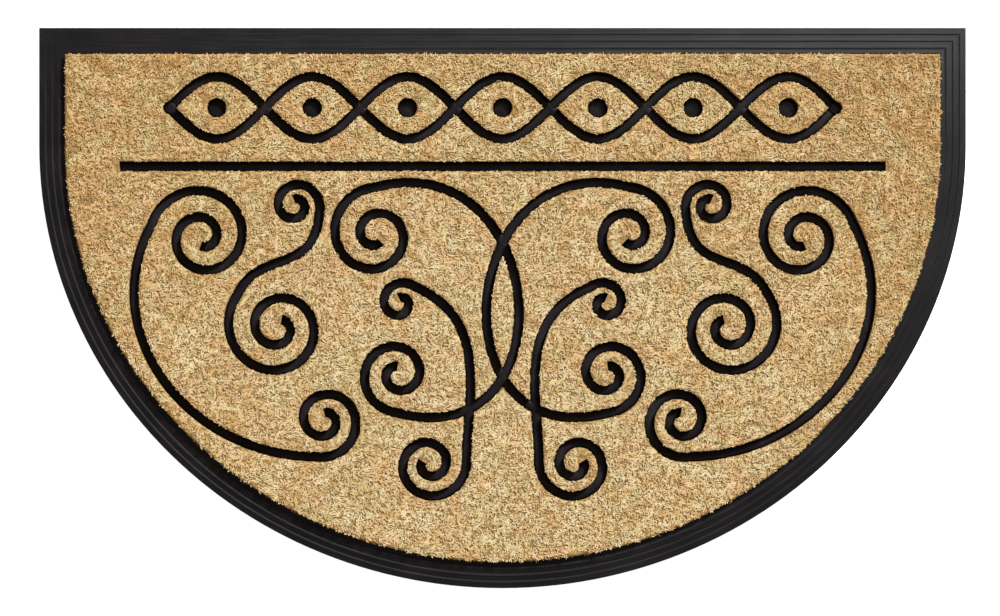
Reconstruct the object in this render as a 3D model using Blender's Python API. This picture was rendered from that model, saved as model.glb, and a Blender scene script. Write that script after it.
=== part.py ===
# Half-round doormat: a moulded rubber base with raised line-work, and coir pile that fills the base
# between the lines. Metres, +Z up. The origin is on the floor under the middle of the mat, and the
# straight edge lies at +Y.
from math import cos, hypot, pi, radians, sin

import bmesh
import bpy

# Outline of the mat: a rectangle as deep as SIDE_LENGTH, closed by half an ellipse.
MAT_WIDTH = 0.762
MAT_DEPTH = 0.4608
SIDE_LENGTH = 0.0971
ARC_SEGMENTS = 60

# Rubber base: a backing sheet inside a rim that rises inwards in ribs. Each rib rises from its outer
# side and drops at its inner side, at these distances from the edge of the mat.
SHEET_THICKNESS = 0.0025
RIM_WIDTH = 0.022
RIM_EDGE_HEIGHT = 0.0028
RIM_CREST_HEIGHT = 0.0060
EDGE_ROUND = 0.0008
CREST_FLAT = 0.0020
WALL_DRAFT = 0.0002
RIB_DROP_DISTANCES = (0.0056, 0.0113, 0.0171)
RIB_DROP_RUN = 0.0012
RIB_CREST = 0.0004
RIB_VALLEY = 0.0004

# Raised lines of the base, and the coir that stands above them.
LINE_WIDTH = 0.0080
LINE_TOP_WIDTH = 0.0064
LINE_TOP = 0.0056
LINE_ROOT = 0.0020
GAP = 0.0003
COIR_TOP = 0.0130
COIR_EDGE_ROUND = 0.0012

# Straight line between the band and the scrolls.
BAR_Y = 0.116
BAR_HALF_LENGTH = 0.314

# Band above the bar: two waves that cross and leave eyes between them, with a round stud in each
# and a smaller one where the waves meet at either end.
BAND_Y = 0.164
BAND_LENGTH = 0.546
BAND_HALF_HEIGHT = 0.0255
BAND_EYES = 7
EYE_SEGMENTS = 10
STUD_RADIUS = 0.0080
TIP_RADIUS = 0.0052
STUD_SIDES = 14

# Scrolls of the right half. Each runs from one volute to another, and the left half mirrors it.
# A volute row holds its centre x and y, outer and inner radius, number of turns, the direction in
# degrees in which its outer end lies from its centre, its hand (+1 grows anticlockwise), and the
# pull that its end has on the stretch between the two volutes.
POINTS_PER_TURN = 20
STRETCH_STEP = 0.014
VOLUTE_GROWTH = 1.15
SCROLLS = {
    "lyre": (
        (0.104, 0.060, 0.039, 0.007, 1.60, 90, 1, 0.80),
        (0.086, -0.054, 0.032, 0.006, 1.50, 270, -1, 0.80),
    ),
    "haunch": (
        (0.246, 0.058, 0.043, 0.007, 1.75, 14, -1, 0.44),
        (0.146, -0.092, 0.031, 0.006, 1.55, 285, 1, 0.44),
    ),
    "shoulder": (
        (0.170, 0.084, 0.021, 0.005, 1.35, 200, 1, 0.55),
        (0.184, -0.016, 0.043, 0.007, 1.80, 40, 1, 0.45),
    ),
    "foot": (
        (0.060, -0.128, 0.031, 0.006, 1.60, 168, -1, 0.40),
        (0.084, 0.004, 0.018, 0.004, 1.15, 130, 1, 0.45),
    ),
}

RUBBER_COLOR = (0.030, 0.027, 0.030, 1.0)
COIR_COLOR = (0.504, 0.337, 0.162, 1.0)


def clear_scene():
    for item in list(bpy.data.objects):
        bpy.data.objects.remove(item, do_unlink=True)
    for group in list(bpy.data.collections):
        bpy.data.collections.remove(group)


def make_collection(name):
    group = bpy.data.collections.new(name)
    bpy.context.scene.collection.children.link(group)
    return group


def make_material(name, color, roughness):
    material = bpy.data.materials.new(name)
    material.use_nodes = True
    shader = material.node_tree.nodes["Principled BSDF"]
    shader.inputs["Base Color"].default_value = color
    shader.inputs["Roughness"].default_value = roughness
    shader.inputs["Metallic"].default_value = 0.0
    return material


# The mat's outline, anticlockwise from its back right corner, drawn in by the same inset all round.
def outline_points(inset):
    half_width = MAT_WIDTH / 2 - inset
    back_y = MAT_DEPTH / 2 - inset
    arc_y = MAT_DEPTH / 2 - SIDE_LENGTH
    arc_depth = MAT_DEPTH - SIDE_LENGTH - inset
    points = [(half_width, back_y), (-half_width, back_y)]
    for index in range(ARC_SEGMENTS + 1):
        angle = pi + pi * index / ARC_SEGMENTS
        points.append((half_width * cos(angle), arc_y + arc_depth * sin(angle)))
    return points


# A slab with the mat's outline. Each row after the first draws the top face in to that distance
# from the slab's own edge and lifts it to that height, so the rows are the section of its rim.
def stepped_slab(name, inset, bottom, rows):
    body = bmesh.new()
    corners = [body.verts.new((x, y, bottom)) for x, y in outline_points(inset)]
    floor = body.faces.new(corners)
    raised = bmesh.ops.extrude_face_region(body, geom=[floor])["geom"]
    top = next(part for part in raised if isinstance(part, bmesh.types.BMFace))
    distance = 0.0
    for row_distance, row_height in rows:
        if row_distance > distance:
            step = row_distance - distance
            bmesh.ops.inset_region(body, faces=[top], thickness=step, use_even_offset=True)
            distance = row_distance
        for corner in top.verts:
            corner.co.z = row_height
    bmesh.ops.recalc_face_normals(body, faces=body.faces)
    mesh = bpy.data.meshes.new(name)
    body.to_mesh(mesh)
    body.free()
    return bpy.data.objects.new(name, mesh)


# Section of the rubber rim, from its outer edge in to the tray that holds the coir.
def rim_rows():
    slope_start = EDGE_ROUND
    slope_end = RIM_WIDTH - CREST_FLAT

    def slope_height(distance):
        share = (distance - slope_start) / (slope_end - slope_start)
        return RIM_EDGE_HEIGHT + share * (RIM_CREST_HEIGHT - RIM_EDGE_HEIGHT)

    rows = [(0.0, RIM_EDGE_HEIGHT - EDGE_ROUND), (slope_start, RIM_EDGE_HEIGHT)]
    for distance in RIB_DROP_DISTANCES:
        before = distance - RIB_DROP_RUN / 2
        after = distance + RIB_DROP_RUN / 2
        rows.append((before, slope_height(before) + RIB_CREST))
        rows.append((after, slope_height(after) - RIB_VALLEY))
    rows.append((slope_end, RIM_CREST_HEIGHT))
    rows.append((RIM_WIDTH, RIM_CREST_HEIGHT))
    rows.append((RIM_WIDTH + WALL_DRAFT, SHEET_THICKNESS))
    return rows


# Centre line of a volute, from its inner end out to the end that the stretch leaves from.
def volute_points(center_x, center_y, outer, inner, turns, leave, hand):
    count = round(turns * POINTS_PER_TURN)
    points = []
    for index in range(count + 1):
        share = index / count
        angle = radians(leave) - hand * (1 - share) * turns * 2 * pi
        radius = inner + (outer - inner) * share ** VOLUTE_GROWTH
        points.append((center_x + radius * cos(angle), center_y + radius * sin(angle)))
    return points


# A point ahead of the last of two points, on the line through both.
def point_ahead(before, last, reach):
    length = hypot(last[0] - before[0], last[1] - before[1])
    return tuple(end + (end - start) / length * reach for start, end in zip(before, last))


# The stretch between two volutes, a cubic curve that leaves each along its own direction.
def stretch_points(start, start_pull, end, end_pull):
    reach = hypot(end[-1][0] - start[-1][0], end[-1][1] - start[-1][1])
    anchors = (
        start[-1],
        point_ahead(start[-2], start[-1], reach * start_pull),
        point_ahead(end[-2], end[-1], reach * end_pull),
        end[-1],
    )
    legs = [hypot(b[0] - a[0], b[1] - a[1]) for a, b in zip(anchors, anchors[1:])]
    count = round(sum(legs) / STRETCH_STEP)
    points = []
    for index in range(1, count):
        share = index / count
        rest = 1 - share
        weights = (rest ** 3, 3 * rest ** 2 * share, 3 * rest * share ** 2, share ** 3)
        points.append(tuple(sum(w * a[axis] for w, a in zip(weights, anchors)) for axis in (0, 1)))
    return points


def scroll_points(first_row, second_row):
    first = volute_points(*first_row[:-1])
    second = volute_points(*second_row[:-1])
    between = stretch_points(first, first_row[-1], second, second_row[-1])
    return first + between + second[::-1]


def mirrored(points):
    return [(-x, y) for x, y in points]


# One of the two waves of the band; side is +1 or -1.
def wave_points(side):
    count = BAND_EYES * EYE_SEGMENTS
    points = []
    for index in range(count + 1):
        share = index / count
        x = BAND_LENGTH * (share - 0.5)
        points.append((x, BAND_Y + side * BAND_HALF_HEIGHT * sin(pi * BAND_EYES * share)))
    return points


def line_routes():
    routes = {"bar": [(-BAR_HALF_LENGTH, BAR_Y), (BAR_HALF_LENGTH, BAR_Y)]}
    routes["wave_upper"] = wave_points(1)
    routes["wave_lower"] = wave_points(-1)
    for name, rows in SCROLLS.items():
        route = scroll_points(*rows)
        routes[name + "_right"] = route
        routes[name + "_left"] = mirrored(route)
    return routes


# Place and radius of each round stud, from left to right.
def stud_rows():
    pitch = BAND_LENGTH / BAND_EYES
    rows = [((index + 0.5) * pitch - BAND_LENGTH / 2, STUD_RADIUS) for index in range(BAND_EYES)]
    return [(-BAND_LENGTH / 2, TIP_RADIUS), *rows, (BAND_LENGTH / 2, TIP_RADIUS)]


def poly_curve(name, points, closed):
    curve = bpy.data.curves.new(name, "CURVE")
    curve.dimensions = "3D"
    curve.twist_mode = "Z_UP"
    spline = curve.splines.new("POLY")
    spline.points.add(len(points) - 1)
    for point, position in zip(spline.points, points):
        point.co = (*position, 1.0)
    spline.use_cyclic_u = closed
    return bpy.data.objects.new(name, curve)


# Closed body of a line: a section swept along the route. The section is given by its widths and
# heights at the foot and at the top.
def swept_line(name, route, group, foot, top):
    foot_width, foot_height = foot
    top_width, top_height = top
    corners = [
        (-foot_width / 2, foot_height, 0.0),
        (foot_width / 2, foot_height, 0.0),
        (top_width / 2, top_height, 0.0),
        (-top_width / 2, top_height, 0.0),
    ]
    section = poly_curve(name + "_section", corners, True)
    line = poly_curve(name + "_route", [(x, y, 0.0) for x, y in route], False)
    group.objects.link(section)
    group.objects.link(line)
    line.data.bevel_mode = "OBJECT"
    line.data.bevel_object = section
    line.data.use_fill_caps = True
    body = mesh_object(name, line, group)
    bpy.data.objects.remove(section)
    return body


# Replaces an object by a plain mesh of what it looks like now, with its loose seams merged.
def mesh_object(name, source, group):
    bpy.context.view_layer.update()
    evaluated = source.evaluated_get(bpy.context.evaluated_depsgraph_get())
    mesh = bpy.data.meshes.new_from_object(evaluated)
    body = bmesh.new()
    body.from_mesh(mesh)
    bmesh.ops.remove_doubles(body, verts=body.verts, dist=0.00002)
    bmesh.ops.recalc_face_normals(body, faces=body.faces)
    body.to_mesh(mesh)
    body.free()
    placement = source.matrix_world.copy()
    bpy.data.objects.remove(source)
    result = bpy.data.objects.new(name, mesh)
    result.matrix_world = placement
    group.objects.link(result)
    return result


def stud(name, x, group, radius, top_radius, bottom, top):
    body = bmesh.new()
    bmesh.ops.create_cone(
        body,
        cap_ends=True,
        segments=STUD_SIDES,
        radius1=radius,
        radius2=top_radius,
        depth=top - bottom,
    )
    bmesh.ops.translate(body, verts=body.verts, vec=(x, BAND_Y, (bottom + top) / 2))
    mesh = bpy.data.meshes.new(name)
    body.to_mesh(mesh)
    body.free()
    group.objects.link(bpy.data.objects.new(name, mesh))


# Every line and stud as a body of its own, between two heights and widened by the same margin.
def fill_with_lines(group, foot_height, top_height, top_width, margin):
    foot = (LINE_WIDTH + 2 * margin, foot_height)
    top = (top_width + 2 * margin, top_height)
    for name, route in line_routes().items():
        swept_line(group.name + "_" + name, route, group, foot, top)
    draft = (LINE_WIDTH - top_width) / 2
    for index, (x, radius) in enumerate(stud_rows()):
        name = f"{group.name}_stud_{index}"
        wide = radius + margin
        stud(name, x, group, wide, wide - draft, foot_height, top_height)
    for item in group.objects:
        item.hide_render = True
        item.display_type = "WIRE"


def combine(target, group, operation):
    modifier = target.modifiers.new(operation.lower(), "BOOLEAN")
    modifier.operation = operation
    modifier.operand_type = "COLLECTION"
    modifier.collection = group
    modifier.solver = "EXACT"


def build_rubber_base(parts, lines, material):
    base = stepped_slab("rubber_base", 0.0, 0.0, rim_rows())
    parts.objects.link(base)
    combine(base, lines, "UNION")
    base = mesh_object("rubber_base", base, parts)
    base.data.materials.clear()
    base.data.materials.append(material)


# The coir is one slab cut by the lines. What the lines close off comes loose as pieces of its own.
def build_coir(parts, channels, material):
    tray_edge = RIM_WIDTH + WALL_DRAFT + GAP
    round_start = COIR_TOP - COIR_EDGE_ROUND
    rows = [(0.0, round_start), (COIR_EDGE_ROUND, COIR_TOP)]
    slab = stepped_slab("coir", tray_edge, SHEET_THICKNESS + GAP, rows)
    parts.objects.link(slab)
    combine(slab, channels, "DIFFERENCE")
    slab = mesh_object("coir", slab, parts)
    slab.data.materials.clear()
    slab.data.materials.append(material)
    bpy.ops.object.select_all(action="DESELECT")
    bpy.context.view_layer.objects.active = slab
    slab.select_set(True)
    bpy.ops.mesh.separate(type="LOOSE")
    name_coir(list(bpy.context.selected_objects))


# The widest piece is the field, those of the band are its eyes from left to right, and the one
# that the two lyres close off is the lens.
def name_coir(pieces):
    pieces.sort(key=lambda piece: -piece.dimensions.x)
    pieces[0].name = "coir_field"
    centers = {}
    for piece in pieces[1:]:
        corners = piece.bound_box
        centers[piece] = (
            sum(corner[0] for corner in corners) / len(corners),
            sum(corner[1] for corner in corners) / len(corners),
        )
    eyes = [piece for piece in centers if centers[piece][1] > BAR_Y]
    eyes.sort(key=lambda piece: centers[piece][0])
    for index, piece in enumerate(eyes, start=1):
        piece.name = f"coir_eye_{index}"
    for piece in centers:
        if piece not in eyes:
            piece.name = "coir_lens"


def main():
    clear_scene()
    parts = make_collection("half_round_doormat")
    lines = make_collection("lines")
    channels = make_collection("channels")
    rubber = make_material("rubber", RUBBER_COLOR, 0.62)
    coir = make_material("coir", COIR_COLOR, 0.95)
    fill_with_lines(lines, LINE_ROOT, LINE_TOP, LINE_TOP_WIDTH, 0.0)
    fill_with_lines(channels, 0.0, COIR_TOP + SHEET_THICKNESS, LINE_WIDTH, GAP)
    build_rubber_base(parts, lines, rubber)
    build_coir(parts, channels, coir)


main()
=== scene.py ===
# Half-round doormat: the looks of its moulded rubber base and of the cut coir pile between the lines
import math

import bpy
import numpy as np
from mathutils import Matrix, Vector


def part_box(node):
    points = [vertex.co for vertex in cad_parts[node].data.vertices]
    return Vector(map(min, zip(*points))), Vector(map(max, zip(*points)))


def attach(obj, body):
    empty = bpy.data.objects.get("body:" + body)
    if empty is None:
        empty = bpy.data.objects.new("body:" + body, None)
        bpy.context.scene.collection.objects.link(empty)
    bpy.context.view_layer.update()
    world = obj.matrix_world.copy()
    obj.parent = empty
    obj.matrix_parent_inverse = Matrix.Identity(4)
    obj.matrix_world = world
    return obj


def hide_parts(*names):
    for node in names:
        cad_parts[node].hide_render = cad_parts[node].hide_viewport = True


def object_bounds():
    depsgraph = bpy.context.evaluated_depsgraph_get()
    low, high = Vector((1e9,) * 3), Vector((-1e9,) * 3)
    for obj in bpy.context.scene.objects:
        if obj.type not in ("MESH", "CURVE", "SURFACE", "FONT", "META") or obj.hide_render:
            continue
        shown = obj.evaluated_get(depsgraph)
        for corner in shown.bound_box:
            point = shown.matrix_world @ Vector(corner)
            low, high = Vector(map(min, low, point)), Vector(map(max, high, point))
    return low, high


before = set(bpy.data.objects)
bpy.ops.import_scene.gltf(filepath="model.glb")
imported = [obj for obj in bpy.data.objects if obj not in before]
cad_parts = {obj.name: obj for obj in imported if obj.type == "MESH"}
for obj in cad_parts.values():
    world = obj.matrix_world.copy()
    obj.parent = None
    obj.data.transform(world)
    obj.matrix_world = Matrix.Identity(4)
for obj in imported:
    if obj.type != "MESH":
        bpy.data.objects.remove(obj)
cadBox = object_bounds()
scene = bpy.context.scene
scene.view_settings.view_transform = "Standard"
print("frame loaded")

baseLow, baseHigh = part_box("rubber_base")
coirLow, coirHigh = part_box("coir_field")

mat = {
    "halfWidth": baseHigh[0],
    "back": baseHigh[1],
    "front": baseLow[1],
    "sideLength": 0.0971,  # the sides run straight this far, then the half ellipse begins
    "rimWidth": 0.0222,
    "coirGap": 0.0003,
}
arcY = mat["back"] - mat["sideLength"]


def clearSelection():
    bpy.ops.object.select_all(action="DESELECT")


def finishPiece(piece, name, material):
    piece.name = name
    piece.data.name = name
    piece.data.materials.clear()
    piece.data.materials.append(material)
    clearSelection()
    bpy.context.view_layer.objects.active = piece
    piece.select_set(True)
    bpy.ops.object.transform_apply(location=True, rotation=True, scale=True)
    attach(piece, "root")
    return piece


def newGroup(name, inputs, outputs):
    group = bpy.data.node_groups.new(name, "ShaderNodeTree")
    for label, kind, value in inputs:
        socket = group.interface.new_socket(label, in_out="INPUT", socket_type=kind)
        socket.default_value = value
    for label, kind in outputs:
        group.interface.new_socket(label, in_out="OUTPUT", socket_type=kind)
    return group, group.nodes.new("NodeGroupInput"), group.nodes.new("NodeGroupOutput")


# fine mottling: one noise at two scales, put out as a grey mask and a height
def mottleGroup():
    group, given, result = newGroup(
        "mottle",
        [
            ("Vector", "NodeSocketVector", (0, 0, 0)),
            ("Coarse Scale", "NodeSocketFloat", 60.0),
            ("Fine Scale", "NodeSocketFloat", 900.0),
            ("Fine Share", "NodeSocketFloat", 0.5),
        ],
        [("Mask", "NodeSocketFloat"), ("Height", "NodeSocketFloat")],
    )
    nodes, links = group.nodes, group.links
    coarse = nodes.new("ShaderNodeTexNoise")
    coarse.inputs["Detail"].default_value = 4.0
    fine = nodes.new("ShaderNodeTexNoise")
    fine.inputs["Detail"].default_value = 3.0
    blend = nodes.new("ShaderNodeMix")
    links.new(given.outputs["Vector"], coarse.inputs["Vector"])
    links.new(given.outputs["Vector"], fine.inputs["Vector"])
    links.new(given.outputs["Coarse Scale"], coarse.inputs["Scale"])
    links.new(given.outputs["Fine Scale"], fine.inputs["Scale"])
    links.new(given.outputs["Fine Share"], blend.inputs["Factor"])
    links.new(coarse.outputs["Fac"], blend.inputs["A"])
    links.new(fine.outputs["Fac"], blend.inputs["B"])
    links.new(blend.outputs["Result"], result.inputs["Mask"])
    links.new(fine.outputs["Fac"], result.inputs["Height"])
    return group


mottle = mottleGroup()


# thatch: patches of parallel fibres, each patch turned its own way; along Z the fibres stand upright
def thatchGroup():
    group, given, result = newGroup(
        "thatch",
        [
            ("Vector", "NodeSocketVector", (0, 0, 0)),
            ("Patch Scale", "NodeSocketFloat", 330.0),
            ("Fibre Scale", "NodeSocketFloat", 2600.0),
        ],
        [("Mask", "NodeSocketFloat"), ("Patch", "NodeSocketFloat"), ("Height", "NodeSocketFloat")],
    )
    nodes, links = group.nodes, group.links
    patches = nodes.new("ShaderNodeTexVoronoi")
    patches.inputs["Randomness"].default_value = 1.0
    split = nodes.new("ShaderNodeSeparateXYZ")
    turn = nodes.new("ShaderNodeMath")
    turn.operation = "MULTIPLY"
    turn.inputs[1].default_value = math.pi
    rotate = nodes.new("ShaderNodeVectorRotate")
    rotate.rotation_type = "Z_AXIS"
    squeeze = nodes.new("ShaderNodeMapping")
    squeeze.inputs["Scale"].default_value = (1.0, 0.13, 0.05)
    fibres = nodes.new("ShaderNodeTexNoise")
    fibres.inputs["Detail"].default_value = 2.0
    fibres.inputs["Distortion"].default_value = 0.3
    links.new(given.outputs["Vector"], patches.inputs["Vector"])
    links.new(given.outputs["Patch Scale"], patches.inputs["Scale"])
    links.new(patches.outputs["Color"], split.inputs["Vector"])
    links.new(split.outputs["X"], turn.inputs[0])
    links.new(given.outputs["Vector"], rotate.inputs["Vector"])
    links.new(turn.outputs["Value"], rotate.inputs["Angle"])
    links.new(rotate.outputs["Vector"], squeeze.inputs["Vector"])
    links.new(squeeze.outputs["Vector"], fibres.inputs["Vector"])
    links.new(given.outputs["Fibre Scale"], fibres.inputs["Scale"])
    links.new(fibres.outputs["Fac"], result.inputs["Mask"])
    links.new(split.outputs["Y"], result.inputs["Patch"])
    links.new(fibres.outputs["Fac"], result.inputs["Height"])
    return group


thatch = thatchGroup()


def newMaterial(name, roughness):
    material = bpy.data.materials.new(name)
    material.use_nodes = True
    shader = material.node_tree.nodes["Principled BSDF"]
    shader.inputs["Roughness"].default_value = roughness
    return material, material.node_tree.nodes, material.node_tree.links, shader


def colorRamp(nodes, stops):
    ramp = nodes.new("ShaderNodeValToRGB")
    while len(ramp.color_ramp.elements) < len(stops):
        ramp.color_ramp.elements.new(0.5)
    for element, (place, color) in zip(ramp.color_ramp.elements, stops):
        element.position = place
        element.color = (*color, 1.0)
    return ramp


def mottleNode(nodes, settings):
    spots = nodes.new("ShaderNodeGroup")
    spots.node_tree = mottle
    for label, value in zip(("Coarse Scale", "Fine Scale", "Fine Share"), settings):
        spots.inputs[label].default_value = value
    return spots


def bumpNode(nodes, strength, depth):
    bump = nodes.new("ShaderNodeBump")
    bump.inputs["Strength"].default_value = strength
    bump.inputs["Distance"].default_value = depth
    return bump


rubberFinish = {
    "rimTones": [
        (0.34, (0.0016, 0.0014, 0.0020)),
        (0.52, (0.0060, 0.0054, 0.0066)),
        (0.70, (0.0190, 0.0173, 0.0200)),
    ],
    "lineTones": [
        (0.34, (0.0030, 0.0020, 0.0026)),
        (0.52, (0.0080, 0.0062, 0.0074)),
        (0.70, (0.021, 0.0175, 0.0200)),
    ],
    "rimMottle": (30.0, 1200.0, 0.4),  # coarse scale, fine scale, share of the fine one
    "lineMottle": (45.0, 1100.0, 0.45),
    "streakStretch": (14.0, 1500.0, 1.0),  # the rim's streaks run along it
    "streakShare": 0.55,
    "roughness": 0.55,
    "rimShine": 0.12,
    "lineShine": 0.07,
    "bump": 0.25,
    "bumpDepth": 0.0004,
}


def rubberMaterial():
    material, nodes, links, shader = newMaterial("mouldedRubber", rubberFinish["roughness"])
    shader.inputs["Specular IOR Level"].default_value = rubberFinish["lineShine"]
    place = nodes.new("ShaderNodeTexCoord")
    spots = mottleNode(nodes, rubberFinish["lineMottle"])
    ramp = colorRamp(nodes, rubberFinish["lineTones"])
    bump = bumpNode(nodes, rubberFinish["bump"], rubberFinish["bumpDepth"])
    links.new(place.outputs["Object"], spots.inputs["Vector"])
    links.new(spots.outputs["Mask"], ramp.inputs["Fac"])
    links.new(ramp.outputs["Color"], shader.inputs["Base Color"])
    links.new(spots.outputs["Height"], bump.inputs["Height"])
    links.new(bump.outputs["Normal"], shader.inputs["Normal"])
    return material


# the rim shows fine lines that run along it, so its colour and bump follow the map around the mat
def rimMaterial():
    material, nodes, links, shader = newMaterial("ribbedRubber", rubberFinish["roughness"])
    shader.inputs["Specular IOR Level"].default_value = rubberFinish["rimShine"]
    place = nodes.new("ShaderNodeTexCoord")
    around = nodes.new("ShaderNodeUVMap")
    around.uv_map = "aroundRim"
    stretch = nodes.new("ShaderNodeMapping")
    stretch.inputs["Scale"].default_value = rubberFinish["streakStretch"]
    streaks = nodes.new("ShaderNodeTexNoise")
    streaks.inputs["Scale"].default_value = 1.0
    streaks.inputs["Detail"].default_value = 4.0
    spots = mottleNode(nodes, rubberFinish["rimMottle"])
    blend = nodes.new("ShaderNodeMix")
    blend.inputs["Factor"].default_value = rubberFinish["streakShare"]
    ramp = colorRamp(nodes, rubberFinish["rimTones"])
    bump = bumpNode(nodes, rubberFinish["bump"], rubberFinish["bumpDepth"])
    links.new(around.outputs["UV"], stretch.inputs["Vector"])
    links.new(stretch.outputs["Vector"], streaks.inputs["Vector"])
    links.new(place.outputs["Object"], spots.inputs["Vector"])
    links.new(spots.outputs["Mask"], blend.inputs["A"])
    links.new(streaks.outputs["Fac"], blend.inputs["B"])
    links.new(blend.outputs["Result"], ramp.inputs["Fac"])
    links.new(ramp.outputs["Color"], shader.inputs["Base Color"])
    links.new(streaks.outputs["Fac"], bump.inputs["Height"])
    links.new(bump.outputs["Normal"], shader.inputs["Normal"])
    return material


# Colours of single fibres, from dark to pale: the lower half of the tint range is orange-brown coir,
# the upper half olive and straw coloured coir.
coirFinish = {
    "tints": [
        (0.00, (0.19, 0.085, 0.021)),
        (0.12, (0.40, 0.230, 0.082)),
        (0.26, (0.56, 0.362, 0.158)),
        (0.40, (0.64, 0.455, 0.236)),
        (0.495, (0.68, 0.530, 0.325)),
        (0.505, (0.18, 0.104, 0.032)),
        (0.62, (0.39, 0.279, 0.112)),
        (0.76, (0.55, 0.434, 0.206)),
        (0.90, (0.64, 0.534, 0.305)),
        (1.00, (0.69, 0.600, 0.395)),
    ],
    # painted shade: each fibre's tint is darkened towards its root, where the pile around it shades it
    "paintedRootShade": (0.66, 0.54, 0.38),
    "shadeEnd": 0.6,  # the painted shade at the roots ends this far along a fibre
    "roughness": 0.75,
    "shine": 0.1,
    "streaks": 450.0,
    "streakShade": (0.88, 0.83, 0.76),
    # painted shade: the matted ground is tinted much darker than the fibres, standing for the shade in
    # the gaps between the locks
    "ground": [
        (0.32, (0.08, 0.036, 0.010)),
        (0.48, (0.24, 0.135, 0.045)),
        (0.64, (0.46, 0.31, 0.125)),
    ],
    "groundMottle": (130.0, 420.0, 0.6),
    "groundMottleShare": 0.45,
    "groundRoughness": 0.9,
    "groundShine": 0.2,
    "groundBump": 0.9,
    "groundBumpDepth": 0.0006,
}


# each lock of the pile is a bundle of a few fibres: fine streaks run along it, and a painted shade
# darkens it towards its root
def fibreMaterial():
    material, nodes, links, shader = newMaterial("cutCoir", coirFinish["roughness"])
    shader.inputs["Specular IOR Level"].default_value = coirFinish["shine"]
    threads = nodes.new("ShaderNodeUVMap")
    threads.uv_map = "OFBake"
    split = nodes.new("ShaderNodeSeparateXYZ")
    tints = colorRamp(nodes, coirFinish["tints"])
    unshaded = (1.0, 1.0, 1.0)
    # painted shade: darkens the tint from the tip down to the root
    shade = colorRamp(nodes, [(0.0, coirFinish["paintedRootShade"]), (coirFinish["shadeEnd"], unshaded)])
    stretch = nodes.new("ShaderNodeMapping")
    stretch.inputs["Scale"].default_value = (coirFinish["streaks"], 2.0, 1.0)
    streaks = nodes.new("ShaderNodeTexNoise")
    streaks.inputs["Scale"].default_value = 1.0
    streaks.inputs["Detail"].default_value = 2.0
    streakRamp = colorRamp(nodes, [(0.35, coirFinish["streakShade"]), (0.6, unshaded)])
    blend = nodes.new("ShaderNodeMix")
    streakBlend = nodes.new("ShaderNodeMix")
    for mix in (blend, streakBlend):
        mix.data_type = "RGBA"
        mix.blend_type = "MULTIPLY"
        mix.inputs["Factor"].default_value = 1.0
    links.new(threads.outputs["UV"], split.inputs["Vector"])
    links.new(split.outputs["X"], tints.inputs["Fac"])
    links.new(split.outputs["Y"], shade.inputs["Fac"])
    links.new(threads.outputs["UV"], stretch.inputs["Vector"])
    links.new(stretch.outputs["Vector"], streaks.inputs["Vector"])
    links.new(streaks.outputs["Fac"], streakRamp.inputs["Fac"])
    links.new(tints.outputs["Color"], blend.inputs[6])
    links.new(shade.outputs["Color"], blend.inputs[7])
    links.new(blend.outputs[2], streakBlend.inputs[6])
    links.new(streakRamp.outputs["Color"], streakBlend.inputs[7])
    links.new(streakBlend.outputs[2], shader.inputs["Base Color"])
    return material


# the matted coir: its fibre pattern is its own, its dark tones are painted shade in the gaps between the
# locks
def groundMaterial():
    material, nodes, links, shader = newMaterial("mattedCoir", coirFinish["groundRoughness"])
    shader.inputs["Specular IOR Level"].default_value = coirFinish["groundShine"]
    place = nodes.new("ShaderNodeTexCoord")
    fibres = nodes.new("ShaderNodeGroup")
    fibres.node_tree = thatch
    spots = mottleNode(nodes, coirFinish["groundMottle"])
    blend = nodes.new("ShaderNodeMix")
    blend.inputs["Factor"].default_value = coirFinish["groundMottleShare"]
    ramp = colorRamp(nodes, coirFinish["ground"])
    bump = bumpNode(nodes, coirFinish["groundBump"], coirFinish["groundBumpDepth"])
    links.new(place.outputs["Object"], fibres.inputs["Vector"])
    links.new(place.outputs["Object"], spots.inputs["Vector"])
    links.new(fibres.outputs["Mask"], blend.inputs["A"])
    links.new(spots.outputs["Mask"], blend.inputs["B"])
    links.new(blend.outputs["Result"], ramp.inputs["Fac"])
    links.new(ramp.outputs["Color"], shader.inputs["Base Color"])
    links.new(fibres.outputs["Height"], bump.inputs["Height"])
    links.new(bump.outputs["Normal"], shader.inputs["Normal"])
    return material


rubber = rubberMaterial()
rimRubber = rimMaterial()
coir = fibreMaterial()
mattedCoir = groundMaterial()
print("materials made")


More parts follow.
